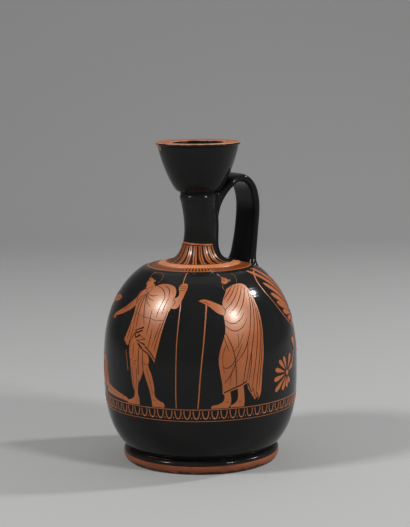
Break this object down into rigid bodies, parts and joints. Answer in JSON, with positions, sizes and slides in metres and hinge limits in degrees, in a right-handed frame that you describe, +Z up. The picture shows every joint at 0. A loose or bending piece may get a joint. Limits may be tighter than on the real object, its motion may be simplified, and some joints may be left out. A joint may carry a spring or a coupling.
{
  "type": "squat lekythos",
  "caption": "Squat oil flask of fired clay with a ring foot, ovoid body, slender neck, funnel mouth and strap handle, painted with figures and ornament in reserved clay on black gloss.",
  "frame": {"origin": "centre of the foot's resting face, on the vessel's axis", "axes": "+Z up the vessel's axis, +X towards the handle, +Y to the left of the handle as seen from it"},
  "size_m": [0.128, 0.128, 0.21],
  "materials": {
    "black_gloss": "thin lustrous black clay gloss, fired on",
    "reserved_clay": "burnished orange fired clay with a satin surface"
  },
  "bodies": {
    "root": {"foot": "reserved_clay", "foot_luting": "reserved_clay", "body": "black_gloss", "neck_luting": "reserved_clay", "neck": "black_gloss", "mouth_luting": "reserved_clay", "mouth": "black_gloss", "handle": "black_gloss", "handle_upper_luting": "black_gloss", "handle_lower_luting": "black_gloss"}
  },
  "joints": []
}
